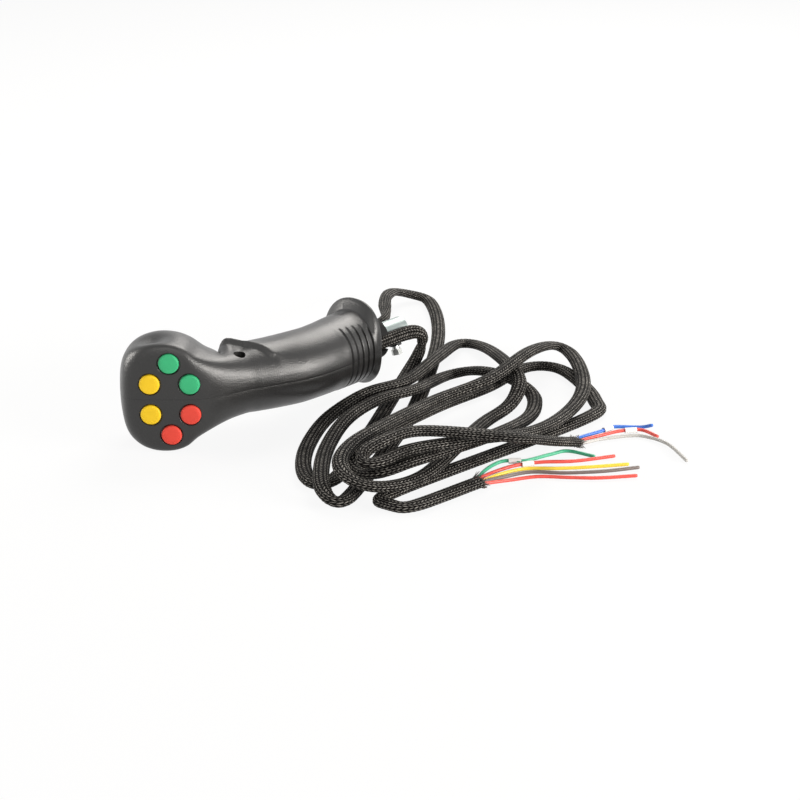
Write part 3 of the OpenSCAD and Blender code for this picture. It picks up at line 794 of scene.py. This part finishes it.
# Hollows over the shell screws: places in plan, and radius and height
screwSettings = dict(places=((-119, 2), onFace(4, 33)), hollow=[(3, 9), (3, 32)])
lengthwise, up = Vector((1, 0, 0)), Vector((0, 0, 1))
rows = shellRows(shellSettings["steps"], neckSettings)
cuts = []
for place in buttonSettings["places"].values():
    cuts.append(lathe(buttonSettings["hole"], facePlace(place), intoFace, 72))
cuts.append(lathe(shellSettings["base"], Vector(), lengthwise))
screwCuts = []
for x, y in screwSettings["places"]:
    screwCuts.append(lathe(screwSettings["hollow"], Vector((x * mm, y * mm, 0)), up, 48))
for name, side, parts in (("upper", 1, cuts + screwCuts), ("lower", -1, cuts)):
    points, faces = shellHalf(rows, shellSettings, side)
    shell = addPiece(name + "Shell", points, faces, finishes["grip_plastic"])
    cutter = addCutter("cutter", parts)
    cutAway(shell, cutter, shellSettings["crease"])
    bpy.data.objects.remove(cutter)
    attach(shell, "grip")
    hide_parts(name + "_shell")
    print(name, "shell has", len(shell.data.polygons), "faces")

for name, place in buttonSettings["places"].items():
    points, faces = lathe(buttonSettings["cap"], facePlace(place), intoFace)
    colour = name.split("_")[0]
    cap = addPiece(name.replace("_", "Cap"), points, faces, finishes[colour + "_cap"])
    cap.data.set_sharp_from_angle(angle=math.radians(buttonSettings["crease"]))
    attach(cap, "push_" + name)
    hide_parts("button_" + name)
    colour + "_cap"
print("caps turned")


# The floor and the world glow white where the camera, a reflection or clear material looks at them
floorSettings = dict(half=6, below=0.2 * mm, colour=(0.86, 0.86, 0.86), glow=0.9)


def makeFloor(s):
    m = Maker(bpy.data.materials.new("paper"))
    seen = m.ray("Camera") + m.ray("Glossy") + m.ray("Transmission")
    share = m.maths("MINIMUM", seen * s["glow"], s["glow"])
    glow = m.node("ShaderNodeEmission", {}, {"Color": (1, 1, 1), "Strength": 1.0})
    m.set(Base_Color=s["colour"], Roughness=0.9)
    paper = Value(m, m.surface.outputs["BSDF"])
    mixed = m.node("ShaderNodeMixShader", {}, {0: share, 1: paper, 2: glow})
    m.tree.links.new(mixed.socket, m.tree.nodes["Material Output"].inputs["Surface"])
    half, level = s["half"], floorHeight - s["below"]
    corners = [(-half, -half, level), (half, -half, level), (half, half, level), (-half, half, level)]
    addPiece("floor", corners, [(0, 1, 2, 3)], m.owner, smooth=False)


lamps = {"key": dict(place=(0.34, -1.4, 0.34), aim=(-0.06, -0.03, 0), size=(0.95, 0.24), power=27),
         "fill": dict(place=(-1.3, -1.0, 0.85), aim=(-0.08, -0.03, 0), size=(1, 1), power=5.6),
         "left": dict(place=(-0.88, 1.08, 0.32), aim=(-0.12, 0, 0), size=(0.6, 0.5), power=12),
         "top": dict(place=(0.85, 0.35, 0.95), aim=(-0.05, -0.03, 0), size=(0.8, 0.9), power=14)}
lampColour = (1, 0.965, 0.92)
worldGrey = 0.25


def makeLamp(name, s):
    data = bpy.data.lights.new(name, "AREA")
    data.shape = "RECTANGLE"
    data.size, data.size_y = s["size"]
    data.energy = s["power"]
    data.color = lampColour
    lamp = bpy.data.objects.new(name, data)
    lamp.location = s["place"]
    lamp.rotation_euler = (Vector(s["aim"]) - Vector(s["place"])).to_track_quat("-Z", "Y").to_euler()
    bpy.context.collection.objects.link(lamp)


def makeWorld():
    world = bpy.data.worlds.new("studio")
    bpy.context.scene.world = world
    m = Maker(world, "Background")
    seen = m.ray("Camera") + m.ray("Glossy")
    m.set(Color=(1, 1, 1), Strength=m.node("ShaderNodeMapRange", {}, {"Value": seen, "To Min": worldGrey}))


makeFloor(floorSettings)
for name, lampSettings in lamps.items():
    makeLamp(name, lampSettings)
makeWorld()
bpy.context.scene.view_settings.view_transform = "Standard"
print("floor and lights set")
